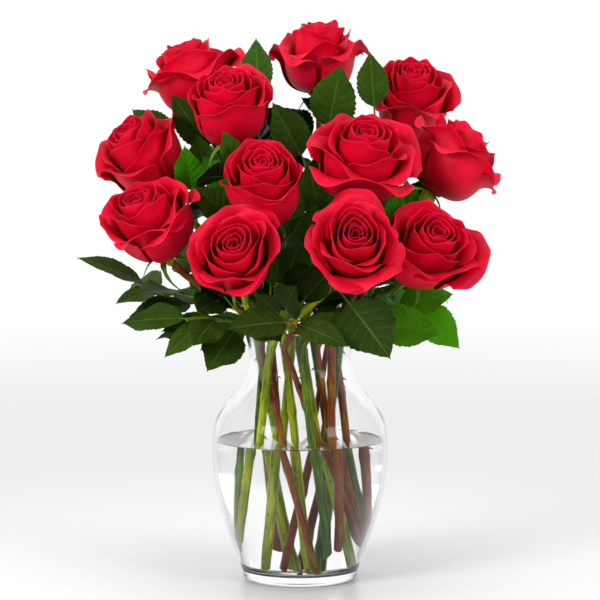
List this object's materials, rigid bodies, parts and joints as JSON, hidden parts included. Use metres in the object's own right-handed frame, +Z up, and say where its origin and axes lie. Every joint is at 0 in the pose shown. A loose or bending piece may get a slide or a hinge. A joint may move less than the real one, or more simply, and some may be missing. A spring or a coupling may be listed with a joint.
{
  "type": "roses in a vase",
  "caption": "Cut red roses with broad green leaves, standing in a clear glass jar-shaped vase part-filled with water.",
  "frame": {"origin": "centre of the vase's flat underside", "axes": "+Z up, +X to the right as seen from the front, -Y towards the front"},
  "size_m": [0.3349, 0.2651, 0.4535],
  "materials": {
    "glass": "clear and polished",
    "water": "clear",
    "petal": "velvety",
    "rose_green": "satin leaf",
    "salal_green": "waxy leaf"
  },
  "bodies": {
    "root": {"vase": "glass", "water": "water", "rose_stem_01": "rose_green", "rose_stem_02": "rose_green", "rose_stem_03": "rose_green", "rose_stem_04": "rose_green", "rose_stem_05": "rose_green", "rose_stem_06": "rose_green", "rose_stem_07": "rose_green", "rose_stem_08": "rose_green", "rose_stem_09": "rose_green", "rose_stem_10": "rose_green", "rose_stem_11": "rose_green", "rose_stem_12": "rose_green", "salal_sprig_1": "salal_green", "salal_sprig_2": "salal_green", "salal_sprig_3": "salal_green", "salal_sprig_4": "salal_green", "salal_sprig_5": "salal_green", "salal_sprig_6": "salal_green", "salal_sprig_7": "salal_green", "bloom_01": "petal", "bloom_02": "petal", "bloom_03": "petal", "bloom_04": "petal", "bloom_05": "petal", "bloom_06": "petal", "bloom_07": "petal", "bloom_08": "petal", "bloom_09": "petal", "bloom_10": "petal", "bloom_11": "petal", "bloom_12": "petal"}
  },
  "joints": []
}
